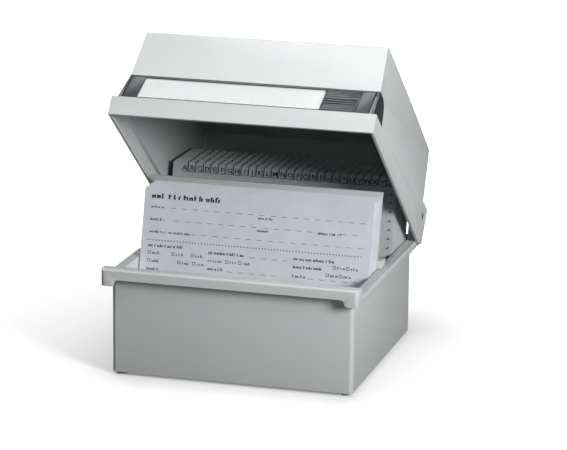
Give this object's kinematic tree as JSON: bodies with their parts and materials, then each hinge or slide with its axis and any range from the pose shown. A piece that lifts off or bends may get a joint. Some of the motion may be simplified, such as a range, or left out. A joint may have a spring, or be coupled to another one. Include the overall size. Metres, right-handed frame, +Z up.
{
  "type": "card index box",
  "caption": "Desk card-index box: an open tray with a hinged hood lid, a label strip across the lid, a sliding support plate, form cards and an A to Z guide index.",
  "frame": {"origin": "on the desk under the middle of the box's outline as it stands with its lid open at rest", "axes": "+X to the user's right, +Y to the back (towards the hinge), +Z up"},
  "size_m": [0.2358, 0.2801, 0.2858],
  "materials": {
    "light_grey_polystyrene": "moulded, fine matt texture",
    "dark_grey_plastic": "moulded, satin",
    "clear_film": "clear, polished",
    "label_paper": "smooth, uncoated",
    "form_card": "printed card, matt",
    "record_card": "card, matt",
    "grey_card": "pressed card, matt",
    "pin_steel": "turned, bright",
    "washer_nylon": "natural nylon"
  },
  "bodies": {
    "tray": {"tray_shell": "light_grey_polystyrene", "guide_02": "grey_card", "guide_03": "grey_card", "guide_04": "grey_card", "guide_05": "grey_card", "guide_06": "grey_card", "guide_07": "grey_card", "guide_08": "grey_card", "guide_09": "grey_card", "guide_10": "grey_card", "guide_11": "grey_card", "guide_12": "grey_card", "guide_13": "grey_card", "guide_14": "grey_card", "guide_15": "grey_card", "guide_16": "grey_card", "guide_17": "grey_card", "guide_18": "grey_card", "guide_19": "grey_card", "guide_20": "grey_card", "guide_21": "grey_card", "guide_22": "grey_card", "guide_23": "grey_card", "guide_24": "grey_card", "guide_25": "grey_card", "records_a": "record_card", "records_f": "record_card", "records_k": "record_card", "records_p": "record_card", "records_u": "record_card"},
    "lid": {"lid_shell": "light_grey_polystyrene", "hinge_pin_left": "pin_steel", "hinge_pin_right": "pin_steel", "friction_washer_left": "washer_nylon", "friction_washer_right": "washer_nylon", "retaining_clip_left": "pin_steel", "retaining_clip_right": "pin_steel", "label_holder": "dark_grey_plastic", "label_window": "clear_film", "thumb_grip": "dark_grey_plastic", "end_cap_left": "dark_grey_plastic", "end_cap_right": "dark_grey_plastic"},
    "label": {"label_slip": "label_paper"},
    "support": {"support_plate": "light_grey_polystyrene"},
    "forms": {"form_pack": "form_card"},
    "front_card": {"form_card_front": "form_card"},
    "front_guide": {"guide_01": "grey_card"}
  },
  "joints": [
    {"name": "lid_hinge", "type": "hinge", "parent": "tray", "child": "lid", "pos_m": [0, 0.08158, 0.1095], "axis": [-1, 0, 0], "range_deg": [-38.5, 60]},
    {"name": "support_slide", "type": "slide", "parent": "tray", "child": "support", "axis": [0, 1, 0], "range_m": [0, 0.02]},
    {"name": "forms_tip", "type": "hinge", "parent": "tray", "child": "forms", "pos_m": [0, -0.08412, 0.008], "axis": [1, 0, 0], "range_deg": [0, 36]},
    {"name": "front_card_lift", "type": "slide", "parent": "forms", "child": "front_card", "axis": [0, 0.2419, 0.9703], "range_m": [0, 0.1]},
    {"name": "front_guide_tip", "type": "hinge", "parent": "tray", "child": "front_guide", "pos_m": [0, -0.0035, 0.008], "axis": [1, 0, 0], "range_deg": [0, 10]},
    {"name": "label_slide", "type": "slide", "parent": "lid", "child": "label", "axis": [1, 0, 0], "range_m": [0, 0.15]}
  ]
}
